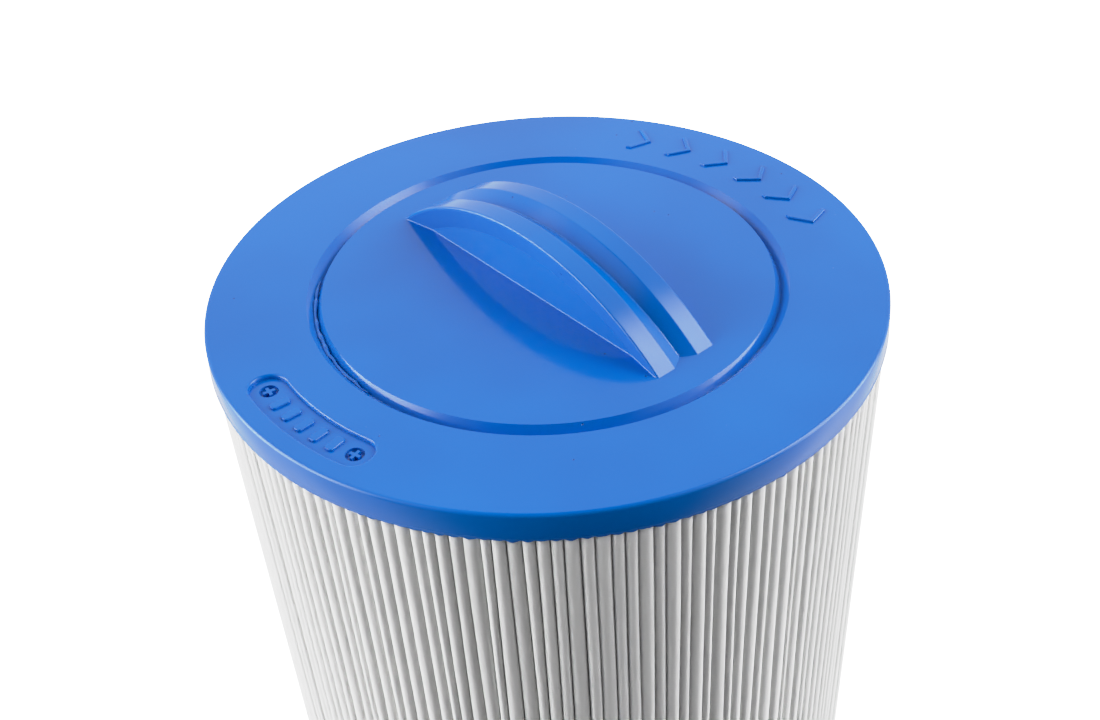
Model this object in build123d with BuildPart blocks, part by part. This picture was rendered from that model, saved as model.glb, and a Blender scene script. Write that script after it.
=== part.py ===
"""Screw-in spa filter cartridge with a grip handle on its upper cap.

Frame: +Z up, origin at the middle of the open end of the threaded outlet, handle along X.
Millimetres throughout.
"""

import os
from math import cos, radians, sin, sqrt

from build123d import *

os.makedirs("parts", exist_ok=True)

# --- driving dimensions -------------------------------------------------------------------
spigot_length = 32.0  # threaded outlet below the lower cap
body_length = 190.0  # underside of the lower cap to the top of the upper cap
face_radius = 89.0  # flat face of either cap, out to its rounded edge
rim_radius = 89.4  # open edge of either cap, wider by the draft of the mould
rim_edge_round = 0.9
cap_depth = 7.5  # height of the rim
cap_floor = 4.5  # resin between the face of the cap and the ends of the pleats

disc_radius = 60.9  # joint between the upper cap and the handle disc
disc_thickness = 3.0
groove_outer_radius = 63.2  # V groove over that joint
groove_inner_radius = 59.4
groove_depth = 2.2

handle_half_chord = 50.8  # where the arch runs into the disc
handle_rise = 18.5
handle_half_width = 9.6
handle_lip = 0.8  # edge left in front of the finger recess
handle_edge_round = 0.5
panel_half_chord = 40.5  # flat wall at the back of the finger recess
panel_rise = 11.7
panel_half_width = 7.9
panel_foot_round = 0.3  # where that wall stands on the disc
valley_half_width = 3.9  # V groove between the two blades
valley_half_chord = 48.4
valley_rise = 15.5

label_radius = 79.0  # middle line of the label recess
label_angle = -87.0
label_span = 24.4
label_width = 9.4
label_depth = 1.2
label_round = 0.7  # rounded upper edge of the recess
label_bars = 5
bars_span = 15.5
bar_length = 5.0
bar_width = 2.5
bar_relief = 0.6
bar_round = 0.3
print_radius = 2.3  # print of a mould screw head at each end of the recess
print_depth = 1.0
cross_length = 3.0
cross_width = 0.8

mark_radius = 76.0  # raised chevrons that point the way the cartridge is screwed in
mark_count = 6
mark_step = 10.0
mark_height = 11.0
mark_reach = 4.5
mark_stroke = 1.5
mark_relief = 0.6
mark_round = 0.35

media_radius = 88.8
media_inner_radius = 28.3
pleat_count = 170
pleat_notch = 4.0
seam_angle = 141.0
seam_thickness = 1.0
seam_inner_radius = 31.0
seam_outer_radius = 84.0

core_radius = 28.0
core_wall = 3.0
window_rows = 13
windows_round = 8
window_width = 11.0
window_height = 8.5
window_pitch = 12.0

bore_radius = 19.0  # water outlet through the spigot
pilot_radius = 21.9  # plain lead-in below the thread
pilot_length = 5.0
pilot_chamfer = 1.0
root_radius = 22.4  # body of the spigot between the turns of the thread
thread_depth = 1.3  # 47.4 mm over the crests, for 1-1/2 in pipe size
thread_pitch = 2.2
thread_length = 21.0
thread_bite = 0.15  # how deep the thread's profile starts in the body
thread_foot = 0.44  # half widths of the profile, as shares of the pitch
thread_crest = 0.08
neck_radius = 24.5
flange_radius = 36.0
flange_thickness = 3.0
stub_length = 12.0  # how far the spigot and the disc reach into the core
stub_wall = 3.0
stub_clearance = 0.1
stub_chamfer = 1.0

# --- levels -------------------------------------------------------------------------------
lower_face = spigot_length
upper_face = spigot_length + body_length
media_bottom = lower_face + cap_floor
media_top = upper_face - cap_floor
core_bottom = lower_face + flange_thickness
core_top = upper_face - disc_thickness

# --- sizes that follow from others --------------------------------------------------------
stub_radius = core_radius - core_wall - stub_clearance
lip_half_chord = handle_half_chord - 1.2
valley_reach = 55.0  # past the ends of the handle
valley_ceiling = 25.0  # above its top
valley_sections = [
    (-valley_half_width, handle_half_chord, handle_rise),
    (0, valley_half_chord, valley_rise),
    (valley_half_width, handle_half_chord, handle_rise),
]
label_line = CenterArc((0, 0), label_radius, label_angle - label_span / 2, label_span)
mark_span = mark_step * (mark_count - 1)
seam_middle_radius = (seam_inner_radius + seam_outer_radius) / 2
seam_depth = seam_outer_radius - seam_inner_radius


def handle_plane(offset):
    """Upright plane across the handle, standing on the upper face."""
    return Plane(origin=(0, offset, upper_face), x_dir=(1, 0, 0), z_dir=(0, -1, 0))


def arc_height(half_chord, rise, x):
    """Height above the face of a circular arch, at a distance x from its middle."""
    radius = (half_chord**2 + rise**2) / (2 * rise)
    return sqrt(radius**2 - x**2) + rise - radius


def polar(radius, angle):
    return (radius * cos(radians(angle)), radius * sin(radians(angle)))


# --- upper cap: cast ring that holds the ends of the pleats -------------------------------
with BuildPart() as top_end_cap:
    with BuildSketch(Plane.XZ):
        with BuildLine():
            Polyline(
                (core_radius, core_top),
                (core_radius, media_top),
                (media_radius, media_top),
                (media_radius, upper_face - cap_depth),
                (rim_radius, upper_face - cap_depth),
                (face_radius, upper_face),
                (groove_outer_radius, upper_face),
                (disc_radius, upper_face - groove_depth),
                (disc_radius, core_top),
                close=True,
            )
        make_face()
    revolve(axis=Axis.Z)
    upper_edges = top_end_cap.edges().filter_by(GeomType.CIRCLE).group_by(Axis.Z)[-1]
    fillet(upper_edges.sort_by(SortBy.RADIUS)[-1], rim_edge_round)

    # label recess, with raised bars and the prints of two cross-head screws of the mould
    with BuildSketch(Plane.XY.offset(upper_face)):
        SlotArc(label_line, label_width)
    extrude(amount=-label_depth, mode=Mode.SUBTRACT)
    recess_edges = top_end_cap.faces().filter_by(lambda face: abs(face.center().Z - upper_face) < 1e-3)
    recess_edges = recess_edges[0].inner_wires().sort_by(SortBy.LENGTH)[0].edges()
    fillet(recess_edges, label_round)
    with BuildSketch(Plane.XY.offset(upper_face - label_depth)):
        with PolarLocations(label_radius, label_bars, label_angle - bars_span / 2, bars_span, endpoint=True):
            RectangleRounded(bar_length, bar_width, bar_width / 3)
    extrude(amount=bar_relief)
    bar_top = upper_face - label_depth + bar_relief
    fillet(top_end_cap.edges().filter_by(lambda edge: abs(edge.center().Z - bar_top) < 1e-3), bar_round)
    with BuildSketch(Plane.XY.offset(upper_face - label_depth)):
        with PolarLocations(label_radius, 2, label_angle - label_span / 2, label_span, endpoint=True):
            Circle(print_radius)
    extrude(amount=-print_depth, mode=Mode.SUBTRACT)
    with BuildSketch(Plane.XY.offset(upper_face - label_depth - print_depth)):
        with PolarLocations(label_radius, 2, label_angle - label_span / 2, label_span, endpoint=True):
            Rectangle(cross_length, cross_width)
            Rectangle(cross_width, cross_length)
    extrude(amount=print_depth)

    # chevrons that point the way the cartridge is screwed in
    with BuildSketch(Plane.XY.offset(upper_face)):
        with PolarLocations(mark_radius, mark_count, 90 - mark_span / 2, mark_span, endpoint=True):
            Polygon(
                (mark_height / 2, mark_reach),
                (0, 0),
                (-mark_height / 2, mark_reach),
                (-mark_height / 2, mark_reach + mark_stroke),
                (0, mark_stroke),
                (mark_height / 2, mark_reach + mark_stroke),
                align=None,
            )
    extrude(amount=mark_relief)
    fillet(top_end_cap.edges().group_by(Axis.Z)[-1], mark_round)
top_end_cap.part.label = "top_end_cap"

# --- handle disc: closes the core, with the two-bladed grip across it ---------------------
with BuildPart() as handle_disc:
    with BuildSketch(handle_plane(0)):
        with BuildLine():
            ThreePointArc((-handle_half_chord, 0), (0, handle_rise), (handle_half_chord, 0))
            Line((handle_half_chord, 0), (-handle_half_chord, 0))
        make_face()
    extrude(amount=handle_half_width, both=True)

    # finger recess on each side: a steep lip under the arch, then a flat wall
    for side in (-1, 1):
        with BuildSketch(handle_plane(side * handle_half_width)):
            with BuildLine():
                ThreePointArc((-lip_half_chord, 0), (0, handle_rise - handle_lip), (lip_half_chord, 0))
                Line((lip_half_chord, 0), (-lip_half_chord, 0))
            make_face()
        with BuildSketch(handle_plane(side * panel_half_width)):
            with BuildLine():
                ThreePointArc((-panel_half_chord, 0), (0, panel_rise), (panel_half_chord, 0))
                Line((panel_half_chord, 0), (-panel_half_chord, 0))
            make_face()
        loft(ruled=True, mode=Mode.SUBTRACT)

    # V groove along the top, which leaves two blades
    for offset, half_chord, rise in valley_sections:
        end_height = arc_height(half_chord, rise, valley_reach)
        with BuildSketch(handle_plane(offset)):
            with BuildLine():
                ThreePointArc((-valley_reach, end_height), (0, rise), (valley_reach, end_height))
                Polyline(
                    (valley_reach, end_height),
                    (valley_reach, valley_ceiling),
                    (-valley_reach, valley_ceiling),
                    (-valley_reach, end_height),
                )
            make_face()
    loft(ruled=True, mode=Mode.SUBTRACT)
    blade_edges = handle_disc.edges().filter_by(lambda edge: edge.center().Z > upper_face + handle_rise / 2)
    fillet(blade_edges.filter_by(GeomType.CIRCLE), handle_edge_round)

    # disc with its plug into the core
    with BuildSketch(Plane.XZ):
        with BuildLine():
            Polyline(
                (0, upper_face),
                (groove_inner_radius, upper_face),
                (disc_radius, upper_face - groove_depth),
                (disc_radius, core_top),
                (stub_radius, core_top),
                (stub_radius, core_top - stub_length + stub_chamfer),
                (stub_radius - stub_chamfer, core_top - stub_length),
                (stub_radius - stub_wall, core_top - stub_length),
                (stub_radius - stub_wall, core_top - disc_thickness),
                (0, core_top - disc_thickness),
                close=True,
            )
        make_face()
    revolve(axis=Axis.Z)
    panel_feet = handle_disc.edges().filter_by_position(Axis.Z, upper_face - 0.01, upper_face + 0.01)
    panel_feet = panel_feet.filter_by(GeomType.LINE).filter_by(lambda edge: edge.length > panel_half_chord)
    fillet(panel_feet, panel_foot_round)
handle_disc.part.label = "handle_disc"

# --- pleated media: solid envelope of the folded cloth, with the tips of the folds --------
with BuildPart() as pleated_media:
    with BuildSketch(Plane.XY.offset(media_bottom)):
        with BuildLine():
            Polyline(*[polar(media_radius - pleat_notch * (i % 2), i * 180 / pleat_count)
                       for i in range(2 * pleat_count)], close=True)
        make_face()
        Circle(media_inner_radius, mode=Mode.SUBTRACT)
        with PolarLocations(seam_middle_radius, 1, seam_angle):
            Rectangle(seam_depth, seam_thickness, mode=Mode.SUBTRACT)
    extrude(amount=media_top - media_bottom)
pleated_media.part.label = "pleated_media"

# --- media seam: glue line that joins the first and last folds ----------------------------
with BuildPart() as media_seam:
    with BuildSketch(Plane.XY.offset(media_bottom)):
        with PolarLocations(seam_middle_radius, 1, seam_angle):
            Rectangle(seam_depth, seam_thickness)
    extrude(amount=media_top - media_bottom)
media_seam.part.label = "media_seam"

# --- core tube: holds the folds open against the flow -------------------------------------
with BuildPart() as core_tube:
    with BuildSketch(Plane.XY.offset(core_bottom)):
        Circle(core_radius)
        Circle(core_radius - core_wall, mode=Mode.SUBTRACT)
    extrude(amount=core_top - core_bottom)
    for row in range(window_rows):
        height = (core_bottom + core_top) / 2 + (row - (window_rows - 1) / 2) * window_pitch
        turn = row % 2 * 180 / windows_round
        crossings = [
            Location((0, 0, height), (0, 0, turn + i * 360 / windows_round))
            for i in range(windows_round // 2)
        ]
        with Locations(*crossings):
            Box(2 * core_radius + core_wall, window_width, window_height, mode=Mode.SUBTRACT)
core_tube.part.label = "core_tube"

# --- lower cap: cast ring round the outlet fitting ----------------------------------------
with BuildPart() as bottom_end_cap:
    with BuildSketch(Plane.XZ):
        with BuildLine():
            Polyline(
                (flange_radius, lower_face),
                (face_radius, lower_face),
                (rim_radius, lower_face + cap_depth),
                (media_radius, lower_face + cap_depth),
                (media_radius, media_bottom),
                (core_radius, media_bottom),
                (core_radius, core_bottom),
                (flange_radius, core_bottom),
                close=True,
            )
        make_face()
    revolve(axis=Axis.Z)
    lower_edges = bottom_end_cap.edges().filter_by(GeomType.CIRCLE).group_by(Axis.Z)[0]
    fillet(lower_edges.sort_by(SortBy.RADIUS)[-1], rim_edge_round)
bottom_end_cap.part.label = "bottom_end_cap"

# --- outlet spigot: flange in the lower cap, stub into the core, male thread below --------
with BuildPart() as outlet_spigot:
    with BuildSketch(Plane.XZ):
        with BuildLine():
            Polyline(
                (bore_radius, 0),
                (pilot_radius - pilot_chamfer, 0),
                (pilot_radius, pilot_chamfer),
                (pilot_radius, pilot_length),
                (root_radius, pilot_length),
                (root_radius, pilot_length + thread_length),
                (neck_radius, pilot_length + thread_length + neck_radius - root_radius),
                (neck_radius, lower_face),
                (flange_radius, lower_face),
                (flange_radius, core_bottom),
                (stub_radius, core_bottom),
                (stub_radius, core_bottom + stub_length - stub_chamfer),
                (stub_radius - stub_chamfer, core_bottom + stub_length),
                (bore_radius, core_bottom + stub_length),
                close=True,
            )
        make_face()
    revolve(axis=Axis.Z)
    with BuildLine():
        thread_path = Helix(thread_pitch, thread_length - thread_pitch, root_radius,
                            center=(0, 0, pilot_length + thread_pitch / 2))
    with BuildSketch(Plane(origin=thread_path @ 0, x_dir=(1, 0, 0), z_dir=thread_path % 0)):
        Polygon(
            (-thread_bite, -thread_pitch * thread_foot),
            (thread_depth, -thread_pitch * thread_crest),
            (thread_depth, thread_pitch * thread_crest),
            (-thread_bite, thread_pitch * thread_foot),
            align=None,
        )
    sweep(path=thread_path, is_frenet=True)
outlet_spigot.part.label = "outlet_spigot"

for piece in (top_end_cap, handle_disc, pleated_media, media_seam, core_tube, bottom_end_cap, outlet_spigot):
    export_step(piece.part, f"parts/{piece.part.label}.step")
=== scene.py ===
"""Looks of the screw-in spa filter cartridge. Metres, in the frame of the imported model."""

import math

import bmesh
import bpy
import numpy as np
from mathutils import Matrix, Vector


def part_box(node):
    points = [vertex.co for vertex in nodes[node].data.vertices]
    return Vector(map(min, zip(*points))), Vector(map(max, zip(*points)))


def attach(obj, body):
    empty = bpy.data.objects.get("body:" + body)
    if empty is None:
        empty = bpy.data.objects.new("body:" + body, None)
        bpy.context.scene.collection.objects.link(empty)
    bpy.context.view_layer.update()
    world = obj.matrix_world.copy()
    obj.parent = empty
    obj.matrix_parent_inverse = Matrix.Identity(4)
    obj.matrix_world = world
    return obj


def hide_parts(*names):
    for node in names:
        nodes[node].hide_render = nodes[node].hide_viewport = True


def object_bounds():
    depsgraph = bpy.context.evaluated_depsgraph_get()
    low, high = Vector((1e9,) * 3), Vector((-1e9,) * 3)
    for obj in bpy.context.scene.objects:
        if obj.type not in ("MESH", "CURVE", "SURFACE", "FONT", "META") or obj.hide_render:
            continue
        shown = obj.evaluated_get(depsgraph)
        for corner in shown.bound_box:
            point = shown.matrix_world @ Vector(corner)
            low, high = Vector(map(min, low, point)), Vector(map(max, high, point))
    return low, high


MM = 0.001

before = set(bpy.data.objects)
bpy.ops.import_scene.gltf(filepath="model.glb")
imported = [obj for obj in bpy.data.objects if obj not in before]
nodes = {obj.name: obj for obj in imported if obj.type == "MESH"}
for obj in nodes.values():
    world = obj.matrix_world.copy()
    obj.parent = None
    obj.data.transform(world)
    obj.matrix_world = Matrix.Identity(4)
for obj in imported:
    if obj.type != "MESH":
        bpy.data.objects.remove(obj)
cad_low, cad_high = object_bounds()

# --- levels and radii, most of them read from the frame -----------------------------------
GRIP_RISE = 18.5 * MM
CAP_DEPTH = 7.5 * MM
media_low, media_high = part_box("pleated_media")
lower_cap_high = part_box("bottom_end_cap")[1]
seam_low, seam_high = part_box("media_seam")
UPPER_FACE = cad_high.z - GRIP_RISE
UPPER_RIM = UPPER_FACE - CAP_DEPTH  # open edge of the upper cap
LOWER_RIM = lower_cap_high.z  # open edge of the lower cap
RIM_RADIUS = lower_cap_high.x
MEDIA_RADIUS = media_high.x
POTTED_DEPTH = media_high.z - UPPER_RIM  # how deep the cloth is set in each cap
CORE_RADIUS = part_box("core_tube")[1].x
SEAM_ANGLE = math.atan2(seam_low.y + seam_high.y, seam_low.x + seam_high.x)

# --- camera -------------------------------------------------------------------------------
CAMERA_BEARING = math.radians(51.2)  # from -Y towards +X
CAMERA_REACH = 294.8 * MM  # level distance from the cartridge's axis
CAMERA_RISE = 202.7 * MM  # above the upper face
CAMERA_PAN = math.radians(3.56)  # to the right of the axis
CAMERA_PITCH = math.radians(39.93)  # below the horizon
CAMERA_ROLL = math.radians(-1.52)
CAMERA_LENS = 44.156  # focal length in mm, on the sensor below
CAMERA_SENSOR = 36.0  # width in mm
CAMERA_SHIFT = (-0.0652, 0.0380)  # of the picture off the lens's axis, in picture widths
CAMERA_NEAR, CAMERA_FAR = 0.01, 50.0


def turned(x, y, angle):
    """The level direction (x, y) turned anticlockwise about the vertical."""
    return (x * math.cos(angle) - y * math.sin(angle), x * math.sin(angle) + y * math.cos(angle))


def make_camera():
    """The main view, close to the cartridge and from above."""
    data = bpy.data.cameras.new("camera")
    camera = bpy.data.objects.new("camera", data)
    bpy.context.scene.collection.objects.link(camera)
    data.sensor_width = CAMERA_SENSOR
    data.lens = CAMERA_LENS
    data.shift_x, data.shift_y = CAMERA_SHIFT
    data.clip_start, data.clip_end = CAMERA_NEAR, CAMERA_FAR
    x, y = turned(0, -CAMERA_REACH, CAMERA_BEARING)
    level = math.cos(CAMERA_PITCH)
    ahead_x, ahead_y = turned(math.sin(CAMERA_PAN) * level, math.cos(CAMERA_PAN) * level, CAMERA_BEARING)
    ahead = Vector((ahead_x, ahead_y, -math.sin(CAMERA_PITCH)))
    right = Vector((*turned(math.cos(CAMERA_PAN), -math.sin(CAMERA_PAN), CAMERA_BEARING), 0))
    up = right.cross(ahead)
    rolled_right = right * math.cos(CAMERA_ROLL) + up * math.sin(CAMERA_ROLL)
    rolled_up = up * math.cos(CAMERA_ROLL) - right * math.sin(CAMERA_ROLL)
    turn = Matrix((rolled_right, rolled_up, -ahead)).transposed()
    camera.matrix_world = Matrix.Translation((x, y, UPPER_FACE + CAMERA_RISE)) @ turn.to_4x4()
    bpy.context.scene.camera = camera


# --- node helpers -------------------------------------------------------------------------
class Nodes:
    """Short forms for the nodes of a material or a world. Scales are per metre."""

    def __init__(self, tree):
        self.tree = tree

    def add(self, kind, **settings):
        node = self.tree.nodes.new(kind)
        for name, value in settings.items():
            setattr(node, name, value)
        return node

    def link(self, source, target):
        self.tree.links.new(source, target)

    def feed(self, socket, value):
        if isinstance(value, bpy.types.NodeSocket):
            self.link(value, socket)
        else:
            socket.default_value = value

    def math(self, operation, a, b=0.0):
        node = self.add("ShaderNodeMath", operation=operation)
        self.feed(node.inputs[0], a)
        self.feed(node.inputs[1], b)
        return node.outputs[0]

    def ramp(self, value, low, high, to_low=0.0, to_high=1.0, smooth=True):
        """Runs from to_low at low to to_high at high, and stays level past both."""
        node = self.add("ShaderNodeMapRange", interpolation_type="SMOOTHSTEP" if smooth else "LINEAR")
        self.feed(node.inputs["Value"], value)
        node.inputs["From Min"].default_value = low
        node.inputs["From Max"].default_value = high
        node.inputs["To Min"].default_value = to_low
        node.inputs["To Max"].default_value = to_high
        return node.outputs["Result"]

    def noise(self, scale, detail=3.0, stretch=(1, 1, 1), rough=0.5):
        place = self.add("ShaderNodeMapping")
        place.inputs["Scale"].default_value = stretch
        self.link(self.add("ShaderNodeTexCoord").outputs["Object"], place.inputs["Vector"])
        node = self.add("ShaderNodeTexNoise")
        self.link(place.outputs["Vector"], node.inputs["Vector"])
        node.inputs["Scale"].default_value = scale
        node.inputs["Detail"].default_value = detail
        node.inputs["Roughness"].default_value = rough
        return node.outputs["Fac"]

    def spots(self, scale, size):
        """1 inside small round spots scattered at random, 0 outside."""
        node = self.add("ShaderNodeTexVoronoi")
        self.link(self.add("ShaderNodeTexCoord").outputs["Object"], node.inputs["Vector"])
        node.inputs["Scale"].default_value = scale
        return self.ramp(node.outputs["Distance"], size, size * 0.6)

    def window(self, value, opens, full, wanes, shut):
        """1 between full and wanes, 0 before opens and after shut."""
        return self.math("MULTIPLY", self.ramp(value, opens, full), self.ramp(value, wanes, shut, 1.0, 0.0))

    def mix(self, factor, first, second):
        node = self.add("ShaderNodeMix", data_type="RGBA")
        self.feed(node.inputs["Factor"], factor)
        self.feed(node.inputs["A"], first)
        self.feed(node.inputs["B"], second)
        return node.outputs["Result"]

    def grey(self, value):
        node = self.add("ShaderNodeCombineColor")
        for socket in node.inputs:
            self.feed(socket, value)
        return node.outputs[0]

    def bump(self, height, distance, strength=1.0, under=None):
        node = self.add("ShaderNodeBump")
        self.link(height, node.inputs["Height"])
        node.inputs["Distance"].default_value = distance
        node.inputs["Strength"].default_value = strength
        if under is not None:
            self.link(under, node.inputs["Normal"])
        return node.outputs["Normal"]


def new_material(name):
    material = bpy.data.materials.new(name)
    material.use_nodes = True
    kit = Nodes(material.node_tree)
    shader = material.node_tree.nodes["Principled BSDF"]
    return material, kit, shader


def rgb(red, green, blue):
    return (red, green, blue, 1.0)


# small flaws of a casting: spots per metre each way, and size as a share of their spacing; the pits get a
# dark tone that is painted shade inside them
SHADED_PIT_SCALE, PIT_SHADE_SIZE, HOLE_SIZE = 95.0, 0.028, 0.032
DUST_SCALE, DUST_SIZE = 110.0, 0.016
PIT_SHADE_TONE = rgb(0.0, 0.03, 0.14)
DUST_TONE = rgb(0.35, 0.5, 0.85)
RESIN_BLUE = rgb(0.0, 0.133, 0.545)
SPIGOT_BLUE = rgb(0.002, 0.15, 0.6)
CORE_WHITE = rgb(0.74, 0.75, 0.74)
HOLE_DEPTH = 0.3 * MM
RIPPLE_DEPTH = 0.02 * MM
GRAIN_DEPTH = 0.004 * MM
UNDERCUT_DULLNESS = 0.8  # added to the roughness of faces that look down


def moulded_plastic(name, colour, roughness, pits=True):
    """Cast or moulded plastic: slight drift of colour, faint ripple, and in a casting pits with painted
    shade in them, and dust.
    """
    material, kit, shader = new_material(name)
    deeper = rgb(*(c * 0.9 for c in colour[:3]))
    lighter = rgb(colour[0], colour[1] * 1.06, min(colour[2] * 1.04, 1.0))
    tone = kit.mix(kit.ramp(kit.noise(scale=18.0, detail=2.0), 0.3, 0.7), deeper, lighter)
    if pits:
        # painted shade: the dented pits are coloured dark where shade would fall inside them
        pit_shade = kit.math("MULTIPLY", kit.spots(SHADED_PIT_SCALE, PIT_SHADE_SIZE), 0.75)
        dust = kit.math("MULTIPLY", kit.spots(DUST_SCALE, DUST_SIZE), 0.25)
        tone = kit.mix(dust, kit.mix(pit_shade, tone, PIT_SHADE_TONE), DUST_TONE)
    kit.link(tone, shader.inputs["Base Color"])

    # undercuts come out of the mould duller than the faces that are wiped clean
    facing = kit.add("ShaderNodeSeparateXYZ")
    kit.link(kit.add("ShaderNodeNewGeometry").outputs["Normal"], facing.inputs[0])
    undercut = kit.ramp(facing.outputs["Z"], -0.05, -0.2, 0.0, UNDERCUT_DULLNESS)
    wear = kit.ramp(kit.noise(scale=240.0, detail=4.0), 0.25, 0.75, roughness - 0.03, roughness + 0.05)
    kit.link(kit.math("ADD", wear, undercut), shader.inputs["Roughness"])

    ripple = kit.bump(kit.noise(scale=55.0, detail=2.0), RIPPLE_DEPTH, strength=0.6)
    surface = kit.bump(kit.noise(scale=1500.0, detail=2.0), GRAIN_DEPTH, strength=0.5, under=ripple)
    if pits:
        hole = kit.math("SUBTRACT", 1.0, kit.spots(SHADED_PIT_SCALE, HOLE_SIZE))
        surface = kit.bump(hole, HOLE_DEPTH, under=surface)
    kit.link(surface, shader.inputs["Normal"])
    shader.inputs["IOR"].default_value = 1.46
    return material


CLOTH_WHITES = rgb(0.952, 0.958, 0.938), rgb(0.975, 0.979, 0.962)
FIBRE_WHITE = rgb(0.985, 0.988, 0.976)
FELT_DEPTH = 0.06 * MM
CLOTH_SEEP = 2.0 * MM  # how far light spreads inside the cloth


def filter_cloth(name):
    """Spunbond polyester: matt white felt of fine crossing fibres."""
    material, kit, shader = new_material(name)
    upright = kit.noise(scale=900.0, detail=4.0, stretch=(1.0, 1.0, 0.12), rough=0.65)
    level = kit.noise(scale=1100.0, detail=4.0, stretch=(0.25, 0.25, 1.4), rough=0.65)
    felt = kit.math("ADD", upright, level)
    white = kit.mix(kit.ramp(kit.noise(scale=60.0), 0.3, 0.7), *CLOTH_WHITES)
    fibres = kit.mix(kit.ramp(felt, 0.75, 1.25, 0.0, 0.35), white, FIBRE_WHITE)
    kit.link(fibres, shader.inputs["Base Color"])
    kit.link(kit.ramp(felt, 0.7, 1.3, 0.75, 0.92), shader.inputs["Roughness"])
    kit.link(kit.bump(felt, FELT_DEPTH, strength=0.6), shader.inputs["Normal"])
    shader.inputs["Specular IOR Level"].default_value = 0.25
    shader.inputs["Sheen Weight"].default_value = 0.12
    shader.inputs["Sheen Roughness"].default_value = 0.5
    # light seeps through the thin cloth, from the lit side of a fold into the creases
    shader.inputs["Subsurface Weight"].default_value = 0.9
    shader.inputs["Subsurface Radius"].default_value = (1.0, 1.0, 1.0)
    shader.inputs["Subsurface Scale"].default_value = CLOTH_SEEP
    return material


GLUE_TONES = rgb(0.66, 0.63, 0.54), rgb(0.76, 0.74, 0.66)
GLUE_LUMPS = 0.08 * MM


def glue(name):
    """Hot-melt glue: cloudy, yellowish and uneven."""
    material, kit, shader = new_material(name)
    cloud = kit.noise(scale=220.0)
    kit.link(kit.mix(kit.ramp(cloud, 0.3, 0.7), *GLUE_TONES), shader.inputs["Base Color"])
    kit.link(kit.ramp(cloud, 0.3, 0.7, 0.28, 0.42), shader.inputs["Roughness"])
    lumps = kit.noise(scale=400.0, detail=2.0)
    kit.link(kit.bump(lumps, GLUE_LUMPS, strength=0.5), shader.inputs["Normal"])
    return material


def wear_material(obj, material):
    obj.data.materials.clear()
    obj.data.materials.append(material)


# --- mesh helpers -------------------------------------------------------------------------
def add_piece(name, points, faces, material):
    """A smooth mesh of its own that is part of the one rigid body."""
    mesh = bpy.data.meshes.new(name)
    mesh.from_pydata([tuple(p) for p in points], [], [tuple(f) for f in faces])
    mesh.update()
    mesh.shade_smooth()
    obj = bpy.data.objects.new(name, mesh)
    bpy.context.scene.collection.objects.link(obj)
    mesh.materials.append(material)
    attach(obj, "root")
    return obj


def grid_faces(rows, columns, start=0, flip=False):
    """Quads between neighbouring rows of points; each row closes on itself."""
    faces = []
    for row in range(rows - 1):
        for column in range(columns):
            beside = (column + 1) % columns
            a, b = start + row * columns + column, start + row * columns + beside
            c, d = b + columns, a + columns
            faces.append((a, d, c, b) if flip else (a, b, c, d))
    return faces


# --- pleated cloth ------------------------------------------------------------------------
PLEATS = 170
PITCH = 2 * np.pi / PLEATS
CLOTH_THICKNESS = 0.45 * MM
CLOTH_ROWS = 24
CLOTH_CLEARANCE = 0.2 * MM  # between the cloth's cut edges and the ends of its pocket in the caps
INNER_FOLD_RADIUS = CORE_RADIUS + 0.8 * MM
TIP_TURNS = np.radians((-84, -62, -38, -13, 13, 38, 62, 84))  # of the points round an outer fold
TIP_BULGE = 0.9 * MM  # how much further out a fold's middle lies than its flanks
TIP_SHORT, TIP_SHORT_SPREAD = 0.06 * MM, 0.16 * MM  # how far a fold falls short of the envelope
TIP_WANDER, TIP_WANDER_RANGE = 0.05 * MM, (-0.15 * MM, 0.05 * MM)
TIP_SKEW, TIP_SKEW_WANDER = 0.16, 0.1  # how much an outer fold leans, as a share of its bulge
FLANK_DEPTHS = 4.5 * MM, 24 * MM  # of the points down the flanks, below the tip
CREASE_GAP, CREASE_GAP_SPREAD, CREASE_GAP_MOST = 0.12 * MM, 0.1 * MM, 0.45 * MM
CREASE_SHIFT = 0.11  # standard deviation of the creases' places, in pitches
CREASE_SHIFT_MOST = 1.6  # standard deviations
CREASE_WANDER, CREASE_WANDER_MOST = 0.06, 0.2  # in pitches
rng = np.random.default_rng(7)


def wander(strength, waves):
    """Smooth random drift of each pleat from row to row, zero at both potted ends."""
    height = np.linspace(0, 1, CLOTH_ROWS)[:, None]
    total = np.zeros((CLOTH_ROWS, PLEATS))
    for wave in range(1, waves + 1):
        total += rng.normal(size=(1, PLEATS)) / wave * np.sin(wave * np.pi * height)
    return total * strength


def spread():
    """One random size for each pleat, never negative."""
    return np.abs(rng.normal(size=PLEATS))


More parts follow.
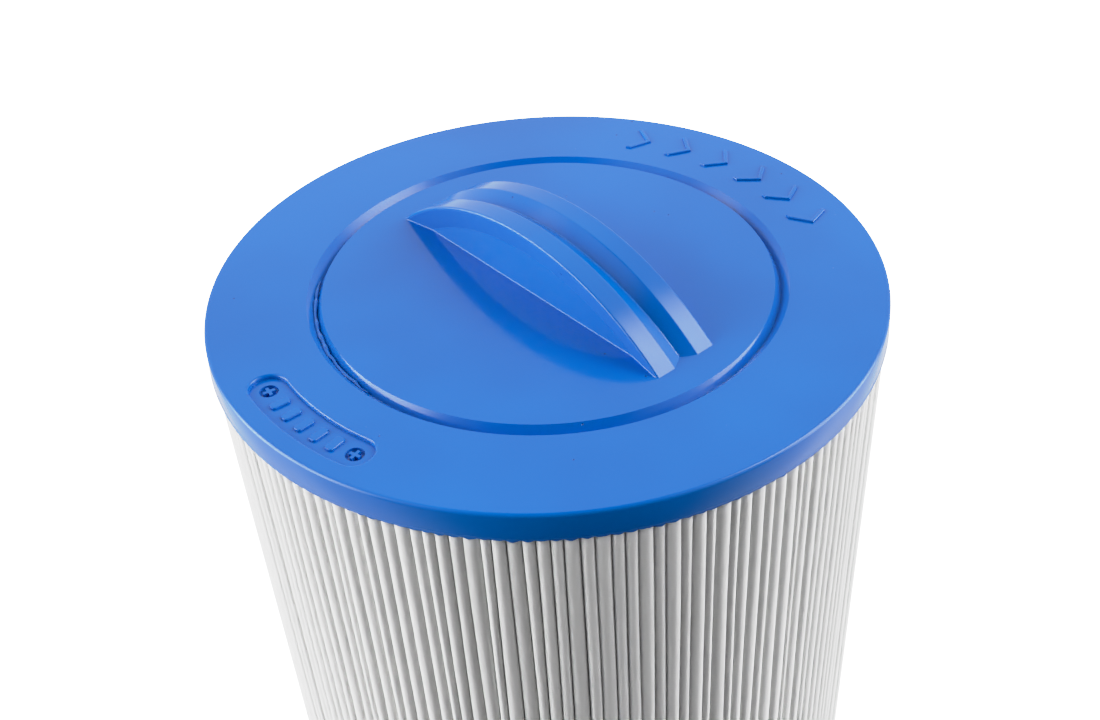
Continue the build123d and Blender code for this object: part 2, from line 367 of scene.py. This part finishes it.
def pleat_paths():
    """Angles and radii of the cloth's middle surface, and the angles of the creases.

    The first two are rows by pleats by points across one pleat, the last is rows by pleats.
    The folds bulge until they nearly touch, so the creases between them are placed first.
    """
    uneven = rng.normal(size=PLEATS).clip(-CREASE_SHIFT_MOST, CREASE_SHIFT_MOST)
    crease = SEAM_ANGLE + (np.arange(PLEATS) + CREASE_SHIFT * (uneven - uneven.mean())) * PITCH
    drift = wander(CREASE_WANDER, 4).clip(-CREASE_WANDER_MOST, CREASE_WANDER_MOST)
    crease = crease[None, :] + drift * PITCH
    following = np.roll(crease, -1, axis=1)
    following[:, -1] += 2 * np.pi
    middle = (crease + following) / 2
    gap = np.minimum(CREASE_GAP + CREASE_GAP_SPREAD * spread(), CREASE_GAP_MOST)
    short = TIP_SHORT + TIP_SHORT_SPREAD * spread()
    tip_radius = (MEDIA_RADIUS - CLOTH_THICKNESS / 2 - short)[None, :]
    tip_radius = tip_radius + wander(TIP_WANDER, 2).clip(*TIP_WANDER_RANGE)
    half_width = (following - crease) / 2 * tip_radius - gap[None, :] / 2 - CLOTH_THICKNESS / 2
    skew = TIP_SKEW * rng.normal(size=PLEATS)[None, :] + wander(TIP_SKEW_WANDER, 2)
    inner_half_width = PITCH * INNER_FOLD_RADIUS / 4
    full_depth = MEDIA_RADIUS - INNER_FOLD_RADIUS
    angles, radii = [], []

    def point(side, depth, width):
        radius = tip_radius - depth
        angles.append(middle + side * width / radius)
        radii.append(radius)

    def flank(side, depth):
        share = depth / full_depth
        point(side, depth, half_width * (1 - share) + inner_half_width * share)

    for depth in reversed(FLANK_DEPTHS):
        flank(-1, depth)
    for turn in TIP_TURNS:
        lift = TIP_BULGE * (1 - math.cos(turn)) * (1 + skew * math.sin(turn))
        point(math.sin(turn), lift, half_width)
    for depth in FLANK_DEPTHS:
        flank(1, depth)
    angles.append(middle + 0.5 * PITCH)
    radii.append(np.full(middle.shape, INNER_FOLD_RADIUS))
    return np.stack(angles, axis=2), np.stack(radii, axis=2), crease


def make_cloth(material):
    """The folded cloth as one closed mesh. Returns the angles of its creases."""
    angle, radius, crease = pleat_paths()
    rows = CLOTH_ROWS
    angle, radius = angle.reshape(rows, -1), radius.reshape(rows, -1)
    x, y = radius * np.cos(angle), radius * np.sin(angle)
    along = np.stack([np.roll(x, -1, 1) - np.roll(x, 1, 1), np.roll(y, -1, 1) - np.roll(y, 1, 1)])
    along /= np.linalg.norm(along, axis=0)
    out_x, out_y = along[1] * CLOTH_THICKNESS / 2, -along[0] * CLOTH_THICKNESS / 2
    low, high = media_low.z + CLOTH_CLEARANCE, media_high.z - CLOTH_CLEARANCE
    z = np.broadcast_to(np.linspace(low, high, rows)[:, None], x.shape)
    outside = np.stack([x + out_x, y + out_y, z], axis=2).reshape(-1, 3)
    inside = np.stack([x - out_x, y - out_y, z], axis=2).reshape(-1, 3)

    columns = x.shape[1]
    inner = len(outside)
    top = (rows - 1) * columns
    faces = grid_faces(rows, columns) + grid_faces(rows, columns, start=inner, flip=True)
    for column in range(columns):
        beside = (column + 1) % columns
        faces.append((column, inner + column, inner + beside, beside))
        faces.append((top + column, top + beside, inner + top + beside, inner + top + column))
    points = np.concatenate([outside, inside])
    cloth = add_piece("pleated_cloth", points, faces, material)
    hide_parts("pleated_media")
    return crease


# --- resin that crept down the cloth at a cap's open edge ---------------------------------
WICK_POINTS = 10  # per pleat
WICK_RUN = 5  # points between two random heights
WICK_REACH = 1.75 * MM  # in a crease
WICK_RISE = 0.85 * MM  # less than that on top of a fold
WICK_RAGGED = 0.13 * MM
WICK_OVERLAP = 0.05 * MM  # how far it reaches into the cap
WICK_OUTSIDE = RIM_RADIUS - 0.25 * MM
WICK_CREASE = MEDIA_RADIUS - 1.5 * MM
WICK_SWELL = 1.42 * MM  # further out on top of a fold than in a crease
WICK_INSIDE = MEDIA_RADIUS - 4 * MM


def make_wicking(name, material, creases, edge, up):
    """Resin that crept from a cap's open edge along the cloth, furthest in the creases."""
    count = PLEATS * WICK_POINTS
    share = (np.arange(WICK_POINTS) / WICK_POINTS)[None, :]
    span = (np.roll(creases, -1) - creases)[:, None]
    span[-1] += 2 * np.pi
    angle = (creases[:, None] + span * share).ravel()
    fold = np.abs(np.sin(np.pi * np.broadcast_to(share, (PLEATS, WICK_POINTS)))).ravel() ** 0.6
    heights = rng.normal(size=count // WICK_RUN + 1)
    ragged = np.interp(np.arange(count), np.arange(0, count + WICK_RUN, WICK_RUN), heights)
    reach = WICK_REACH - WICK_RISE * fold + WICK_RAGGED * ragged
    potted = np.full(count, edge + up * WICK_OVERLAP)
    rings = (
        (np.full(count, WICK_OUTSIDE), potted),
        (WICK_CREASE + WICK_SWELL * fold, edge - up * reach),
        (np.full(count, WICK_INSIDE), potted),
    )
    points = [np.stack([r * np.cos(angle), r * np.sin(angle), z], axis=1) for r, z in rings]
    faces = grid_faces(len(rings), count, flip=up > 0)
    for column in range(count):
        beside = (column + 1) % count
        quad = (column, 2 * count + column, 2 * count + beside, beside)
        faces.append(quad if up < 0 else quad[::-1])
    add_piece(name, np.concatenate(points), faces, material)


# --- resin squeezed out of the joint under the groove -------------------------------------
BEAD_RADIUS = 61.2 * MM  # distance from the cartridge's axis
BEAD_SINK = 1.5 * MM  # its middle lies this far below the upper face
BEAD_ARC = np.radians((-135, -86))
BEAD_STEPS = 220
BEAD_CORNERS = 14
BEAD_LUMPS, BEAD_SWAYS = 34, 20  # random values along it
BEAD_HALF, BEAD_UNEVEN, BEAD_HALF_RANGE = 0.62 * MM, 0.13 * MM, (0.35 * MM, 0.95 * MM)
BEAD_SWAY = 0.16 * MM


def make_bead(material):
    """Uneven glossy bead that fills the bottom of the groove along part of its round."""
    share = np.linspace(0, 1, BEAD_STEPS)
    angle = BEAD_ARC[0] + (BEAD_ARC[1] - BEAD_ARC[0]) * share
    lumps = np.interp(share, np.linspace(0, 1, BEAD_LUMPS), rng.normal(size=BEAD_LUMPS))
    taper = np.sin(np.pi * share.clip(0.001, 0.999)) ** 0.3
    half = (BEAD_HALF + BEAD_UNEVEN * lumps).clip(*BEAD_HALF_RANGE) * taper
    sway = np.interp(share, np.linspace(0, 1, BEAD_SWAYS), rng.normal(size=BEAD_SWAYS)) * BEAD_SWAY
    turn = np.linspace(0, 2 * np.pi, BEAD_CORNERS, endpoint=False)
    radius = BEAD_RADIUS + sway[:, None] + half[:, None] * np.cos(turn)
    x, y = radius * np.cos(angle)[:, None], radius * np.sin(angle)[:, None]
    z = UPPER_FACE - BEAD_SINK + half[:, None] * np.sin(turn)
    points = np.stack([x, y, z], axis=2).reshape(-1, 3)
    faces = grid_faces(BEAD_STEPS, BEAD_CORNERS, flip=True)
    add_piece("groove_bead", points, faces, material)


# --- caps with a finely turned rim --------------------------------------------------------
RIM_ROUND = 0.9 * MM
RIM_DRAFT = 0.4 * MM  # the rim is this much wider at its open edge than at the face
RIM_EDGE_ROUND = 0.3 * MM  # at the open edge
RIM_LAP, RIM_LAP_SINK = 0.06 * MM, 0.002 * MM  # of the new rim under the flat face's edge
RIM_RETURN = 1.0 * MM  # of the rim's inner wall beside the cloth
RIM_STEPS = 540
ROUND_STEPS = 12
NEAR = 0.01 * MM  # tolerance for a vertex on a level or on a circle


def drop_rim(mesh, bend_radius, face_level, edge_level):
    """Deletes the coarse facets outside the flat face, and keeps the pocket of the cloth."""
    work = bmesh.new()
    work.from_mesh(mesh)
    doomed = []
    for face in work.faces:
        corners = [vertex.co for vertex in face.verts]
        reach = [math.hypot(corner.x, corner.y) for corner in corners]
        depth = [abs(corner.z - edge_level) for corner in corners]
        in_rim = min(reach) > bend_radius - NEAR
        on_face = all(abs(corner.z - face_level) < NEAR for corner in corners)
        in_pocket = any(d > POTTED_DEPTH - NEAR and r < MEDIA_RADIUS + NEAR for d, r in zip(depth, reach))
        if in_rim and not on_face and not in_pocket:
            doomed.append(face)
    bmesh.ops.delete(work, geom=doomed, context="FACES")
    work.to_mesh(mesh)
    work.free()


def rim_profile(bend_radius, draft, face_level, edge_level, up):
    """Radii and heights of the rim's section, from the flat face round to the cloth."""
    profile = [(bend_radius - RIM_LAP, face_level - up * RIM_LAP_SINK)]
    for step in range(ROUND_STEPS + 1):
        turn = math.pi / 2 - (math.pi / 2 - draft) * step / ROUND_STEPS
        drop = RIM_ROUND * (1 - math.sin(turn))
        profile.append((bend_radius + RIM_ROUND * math.cos(turn), face_level - up * drop))
    for turn in np.radians((0, 30, 60, 90)):
        inset, rise = RIM_EDGE_ROUND * (1 - math.cos(turn)), RIM_EDGE_ROUND * (1 - math.sin(turn))
        profile.append((RIM_RADIUS - inset, edge_level + up * rise))
    profile += [(MEDIA_RADIUS, edge_level), (MEDIA_RADIUS, edge_level + up * RIM_RETURN)]
    return profile


def make_fine_cap(node, material, face_level, edge_level):
    """The cap with its rounded rim turned in fine steps, in place of the coarse facets there."""
    up = 1 if face_level > edge_level else -1
    draft = math.atan2(RIM_DRAFT, CAP_DEPTH)
    bend_radius = RIM_RADIUS - RIM_DRAFT - RIM_ROUND * math.tan(math.pi / 4 - draft / 2)
    mesh = nodes[node].data.copy()
    drop_rim(mesh, bend_radius, face_level, edge_level)
    cap = bpy.data.objects.new(node + "_body", mesh)
    bpy.context.scene.collection.objects.link(cap)
    wear_material(cap, material)
    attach(cap, "root")
    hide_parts(node)

    profile = rim_profile(bend_radius, draft, face_level, edge_level, up)
    angle = np.linspace(0, 2 * np.pi, RIM_STEPS, endpoint=False)
    rings = [np.stack([r * np.cos(angle), r * np.sin(angle), np.full(RIM_STEPS, z)], axis=1)
             for r, z in profile]
    faces = grid_faces(len(profile), RIM_STEPS, flip=up > 0)
    add_piece(node + "_rim", np.concatenate(rings), faces, material)


# --- exposure, lights and floor -----------------------------------------------------------
# light in and light out: as it is up to the middle greys, then rolled off
HIGHLIGHT_CURVE = ((0.0, 0.0), (0.35, 0.35), (0.7, 0.67), (1.0, 0.79), (1.6, 0.88), (4.0, 1.0))
BACKDROP_WHITE = 6.0  # what the camera sees of the backdrop and the floor: plain white


def soften_highlights():
    """Rolls bright white off gently, as a camera does, instead of clipping it."""
    settings = bpy.context.scene.view_settings
    settings.use_curve_mapping = True
    mapping = settings.curve_mapping
    brightest, white = HIGHLIGHT_CURVE[-1]
    mapping.white_level = (brightest, brightest, brightest)
    all_channels = mapping.curves[3]
    all_channels.points[0].location = HIGHLIGHT_CURVE[0]
    all_channels.points[1].location = (1.0, white)
    for light_in, light_out in HIGHLIGHT_CURVE[1:-1]:
        all_channels.points.new(light_in / brightest, light_out)
    mapping.update()


# Bearings are degrees away from the camera's side, 0 behind the camera and 180 behind the cartridge.
# Rises are degrees above the horizon. A light opens, is full, wanes and is shut at the four values of
# a row. TURN and GLOW give one value for the left and one for the right.
HORIZON = (-2, 2)
WALL_BEARINGS = (28, 62)
WALL_TOP = (56, 76)
WALL_GLOW = 1.0
TABLE_BEARINGS = (74, 114)  # the table behind the cartridge
TABLE_GLOW = 1.15
SIDE_OPENS = (58, 84)  # a tall softbox on each side
SIDE_TURN = (8.0, -3.0)  # it opens this much nearer to the camera's side
SIDE_WANES = (98, 122)
SIDE_RISES = (-30, -5, 25, 47)
SIDE_GLOW = (7.2, 6.0)
HIGH_BEARINGS = (66, 86, 96, 122)  # the softbox on the right goes on higher up
HIGH_RISES = (25, 47, 54, 68)
HIGH_GLOW = (0.0, 6.8)
APRON_BEARINGS = (34, 76, 88, 118)  # table top between the softboxes and the cartridge
APRON_TURN = (3.0, -4.0)  # it lies this much nearer to the camera's side
APRON_RISES = (-80, -55, -36, -14)
APRON_GLOW = 1.0


def make_world():
    """White studio: a pale wall all round but behind the camera, a lit table, and tall softboxes."""
    world = bpy.data.worlds.new("studio")
    bpy.context.scene.world = world
    world.use_nodes = True
    kit = Nodes(world.node_tree)
    background = world.node_tree.nodes["Background"]
    split = kit.add("ShaderNodeSeparateXYZ")
    kit.link(kit.add("ShaderNodeTexCoord").outputs["Generated"], split.inputs[0])
    east, north, height = split.outputs
    x, y = turned(0, -1, CAMERA_BEARING)
    to_camera = kit.math("ADD", kit.math("MULTIPLY", east, x), kit.math("MULTIPLY", north, y))
    to_right = kit.math("SUBTRACT", kit.math("MULTIPLY", north, x), kit.math("MULTIPLY", east, y))
    level = kit.math("SQRT", kit.math("ADD", kit.math("MULTIPLY", to_camera, to_camera),
                                      kit.math("MULTIPLY", to_right, to_right)))
    bearing = kit.math("DEGREES", kit.math("ARCTAN2", kit.math("ABSOLUTE", to_right), to_camera))
    rise = kit.math("DEGREES", kit.math("ARCTAN2", height, level))

    def by_side(left_and_right):
        return kit.ramp(to_right, -0.01, 0.01, *left_and_right, smooth=False)

    def product(first, *others):
        for other in others:
            first = kit.math("MULTIPLY", first, other)
        return first

    wall = product(kit.ramp(bearing, *WALL_BEARINGS), kit.ramp(rise, *WALL_TOP, 1.0, 0.0),
                   kit.ramp(rise, *HORIZON), WALL_GLOW)
    table = product(kit.ramp(bearing, *TABLE_BEARINGS), kit.ramp(rise, *HORIZON, 1.0, 0.0), TABLE_GLOW)
    sides = product(kit.ramp(kit.math("ADD", bearing, by_side(SIDE_TURN)), *SIDE_OPENS),
                    kit.ramp(bearing, *SIDE_WANES, 1.0, 0.0), kit.window(rise, *SIDE_RISES),
                    by_side(SIDE_GLOW))
    high = product(kit.window(bearing, *HIGH_BEARINGS), kit.window(rise, *HIGH_RISES), by_side(HIGH_GLOW))
    apron = product(kit.window(kit.math("ADD", bearing, by_side(APRON_TURN)), *APRON_BEARINGS),
                    kit.window(rise, *APRON_RISES), APRON_GLOW)
    light = wall
    for another in (table, sides, high, apron):
        light = kit.math("ADD", light, another)
    eye = kit.add("ShaderNodeLightPath").outputs["Is Camera Ray"]
    white = rgb(BACKDROP_WHITE, BACKDROP_WHITE, BACKDROP_WHITE)
    kit.link(kit.mix(eye, kit.grey(light), white), background.inputs["Color"])
    background.inputs["Strength"].default_value = 1.0


FLOOR_REACH = 6.0


def make_floor():
    """Plain white floor that the camera sees and that lights nothing."""
    mesh = bpy.data.meshes.new("floor")
    corners = [(side * FLOOR_REACH, end * FLOOR_REACH, cad_low.z)
               for side, end in ((-1, -1), (1, -1), (1, 1), (-1, 1))]
    mesh.from_pydata(corners, [], [(0, 1, 2, 3)])
    floor = bpy.data.objects.new("floor", mesh)
    bpy.context.scene.collection.objects.link(floor)
    material, kit, shader = new_material("pale_floor")
    shader.inputs["Base Color"].default_value = rgb(0.9, 0.9, 0.9)
    shader.inputs["Roughness"].default_value = 1.0
    shader.inputs["Specular IOR Level"].default_value = 0.0
    shader.inputs["Emission Color"].default_value = rgb(1, 1, 1)
    shader.inputs["Emission Strength"].default_value = BACKDROP_WHITE
    mesh.materials.append(material)
    floor.visible_glossy = False
    floor.visible_diffuse = False


# --- the model ----------------------------------------------------------------------------
bpy.context.scene.view_settings.view_transform = "Standard"
soften_highlights()
make_camera()
make_world()
make_floor()

resin = moulded_plastic("cast_resin", RESIN_BLUE, 0.12)
spigot_plastic = moulded_plastic("moulded_spigot", SPIGOT_BLUE, 0.27, pits=False)
core_plastic = moulded_plastic("moulded_core", CORE_WHITE, 0.42, pits=False)
wear_material(nodes["handle_disc"], resin)
wear_material(nodes["outlet_spigot"], spigot_plastic)
wear_material(nodes["core_tube"], core_plastic)
wear_material(nodes["media_seam"], glue("hot_melt"))
make_fine_cap("top_end_cap", resin, UPPER_FACE, UPPER_RIM)
make_fine_cap("bottom_end_cap", resin, LOWER_RIM - CAP_DEPTH, LOWER_RIM)
creases = make_cloth(filter_cloth("spunbond_cloth"))
make_wicking("upper_wicking", resin, creases[-1], UPPER_RIM, 1)
make_wicking("lower_wicking", resin, creases[0], LOWER_RIM, -1)
make_bead(resin)
